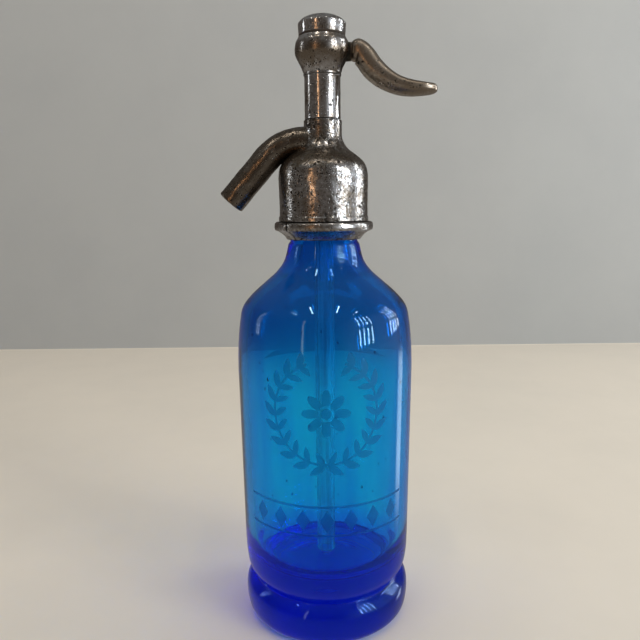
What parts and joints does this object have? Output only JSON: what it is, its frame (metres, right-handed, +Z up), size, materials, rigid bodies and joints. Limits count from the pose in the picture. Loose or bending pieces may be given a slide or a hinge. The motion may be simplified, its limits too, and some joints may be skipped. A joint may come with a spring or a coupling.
{
  "type": "soda siphon",
  "caption": "Glass soda siphon: heavy-footed bottle with dip tube, metal head with split neck ring, bent spout, spring valve and thumb lever.",
  "frame": {"origin": "centre of the flat base, on the table", "axes": "+Z up along the bottle's axis, +X along the thumb lever, -X along the spout"},
  "size_m": [0.1137, 0.0954, 0.3246],
  "materials": {
    "blue_glass": "polished, azure blue, deep blue in the thick base",
    "tube_glass": "clear drawn tube",
    "head_metal": "worn nickel plate, pitted, brown patina",
    "ring_metal": "worn nickel plate, pitted",
    "spout_metal": "worn nickel plate, dark brown patina",
    "cap_metal": "worn nickel plate",
    "lever_bronze": "worn plate, smooth brown bronze tone",
    "brass": "dull machined brass",
    "steel": "drawn steel",
    "rubber": "matte",
    "fibre": "matte dark fibre"
  },
  "bodies": {
    "siphon": {"bottle": "blue_glass", "dip_tube": "tube_glass", "mouth_gasket": "rubber", "tube_seal": "rubber", "neck_ring_front": "ring_metal", "neck_ring_rear": "ring_metal", "head_body": "head_metal", "valve_seat": "brass", "spout": "spout_metal", "packing_washer": "brass", "stem_packing": "rubber", "lever_housing": "head_metal", "lever_pin": "steel", "cap_gasket": "fibre", "cap": "cap_metal", "spring": "steel"},
    "lever": {"lever": "lever_bronze"},
    "valve_stem": {"stem": "brass", "valve_washer": "rubber", "valve_screw": "brass", "stem_lifter": "brass", "cross_pin": "steel", "spring_seat": "steel"}
  },
  "joints": [
    {"name": "lever_hinge", "type": "hinge", "parent": "siphon", "child": "lever", "pos_m": [0.0095, 0, 0.30553], "axis": [0, 1, 0], "range_deg": [0, 14]},
    {"name": "stem_slide", "type": "slide", "parent": "siphon", "child": "valve_stem", "axis": [0, 0, 1], "range_m": [0, 0.00229], "stiffness_N_per_m": 600, "springref_m": -0.00833, "deforming": ["spring"]}
  ],
  "couplings": [
    {"joint": "lever_hinge", "follows": "stem_slide", "rad_per_m": 106.38}
  ]
}
